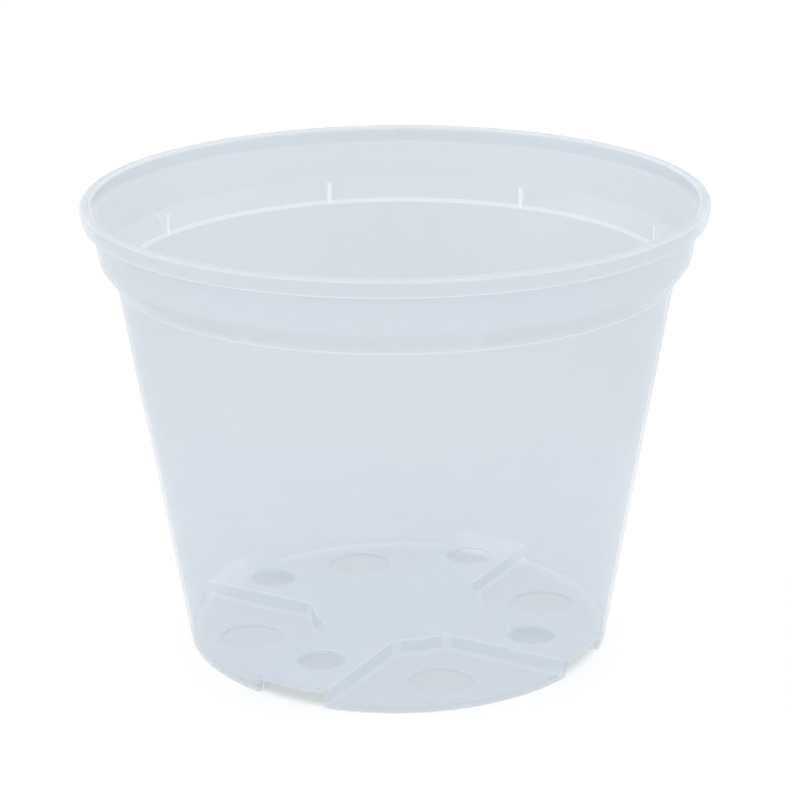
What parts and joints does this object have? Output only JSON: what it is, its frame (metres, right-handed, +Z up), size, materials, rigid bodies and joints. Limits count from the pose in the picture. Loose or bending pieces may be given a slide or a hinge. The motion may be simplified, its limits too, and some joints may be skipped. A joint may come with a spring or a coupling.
{
  "type": "orchid pot with slots",
  "caption": "Clear round orchid pot with a raised cross and air channels in its base, drain holes, a stepped collar, stacking nibs and a rolled lip.",
  "frame": {"origin": "on the pot's axis, in the plane of the feet's undersides", "axes": "+Z up along the pot's axis to the mouth, +X and +Y through the middles of two neighbouring feet"},
  "size_m": [0.13, 0.13, 0.097],
  "materials": {
    "clear_plastic": "clear gloss with a faint milky haze"
  },
  "bodies": {
    "root": {"pot": "clear_plastic"}
  },
  "joints": []
}
